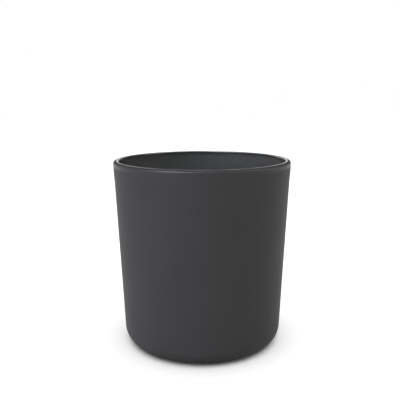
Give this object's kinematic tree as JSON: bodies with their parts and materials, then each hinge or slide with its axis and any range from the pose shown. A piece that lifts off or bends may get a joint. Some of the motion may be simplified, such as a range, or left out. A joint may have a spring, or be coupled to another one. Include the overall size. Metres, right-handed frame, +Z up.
{
  "type": "candle jar",
  "caption": "Straight-sided round glass tumbler, slightly tapered, lacquered matt black outside, open at the top to hold poured candle wax.",
  "frame": {"origin": "middle of the standing ring, on the surface that the jar stands on", "axes": "+Z up along the jar's axis, out of the mouth; X and Y are equal, as the jar is round"},
  "size_m": [0.08, 0.08, 0.0839],
  "materials": {
    "clear_glass": "clear pressed soda-lime glass, fire-polished lip",
    "matt_lacquer": "sprayed and baked matt black lacquer"
  },
  "bodies": {
    "root": {"glass_tumbler": "clear_glass", "wall_lacquer": "matt_lacquer", "base_lacquer": "matt_lacquer"}
  },
  "joints": []
}
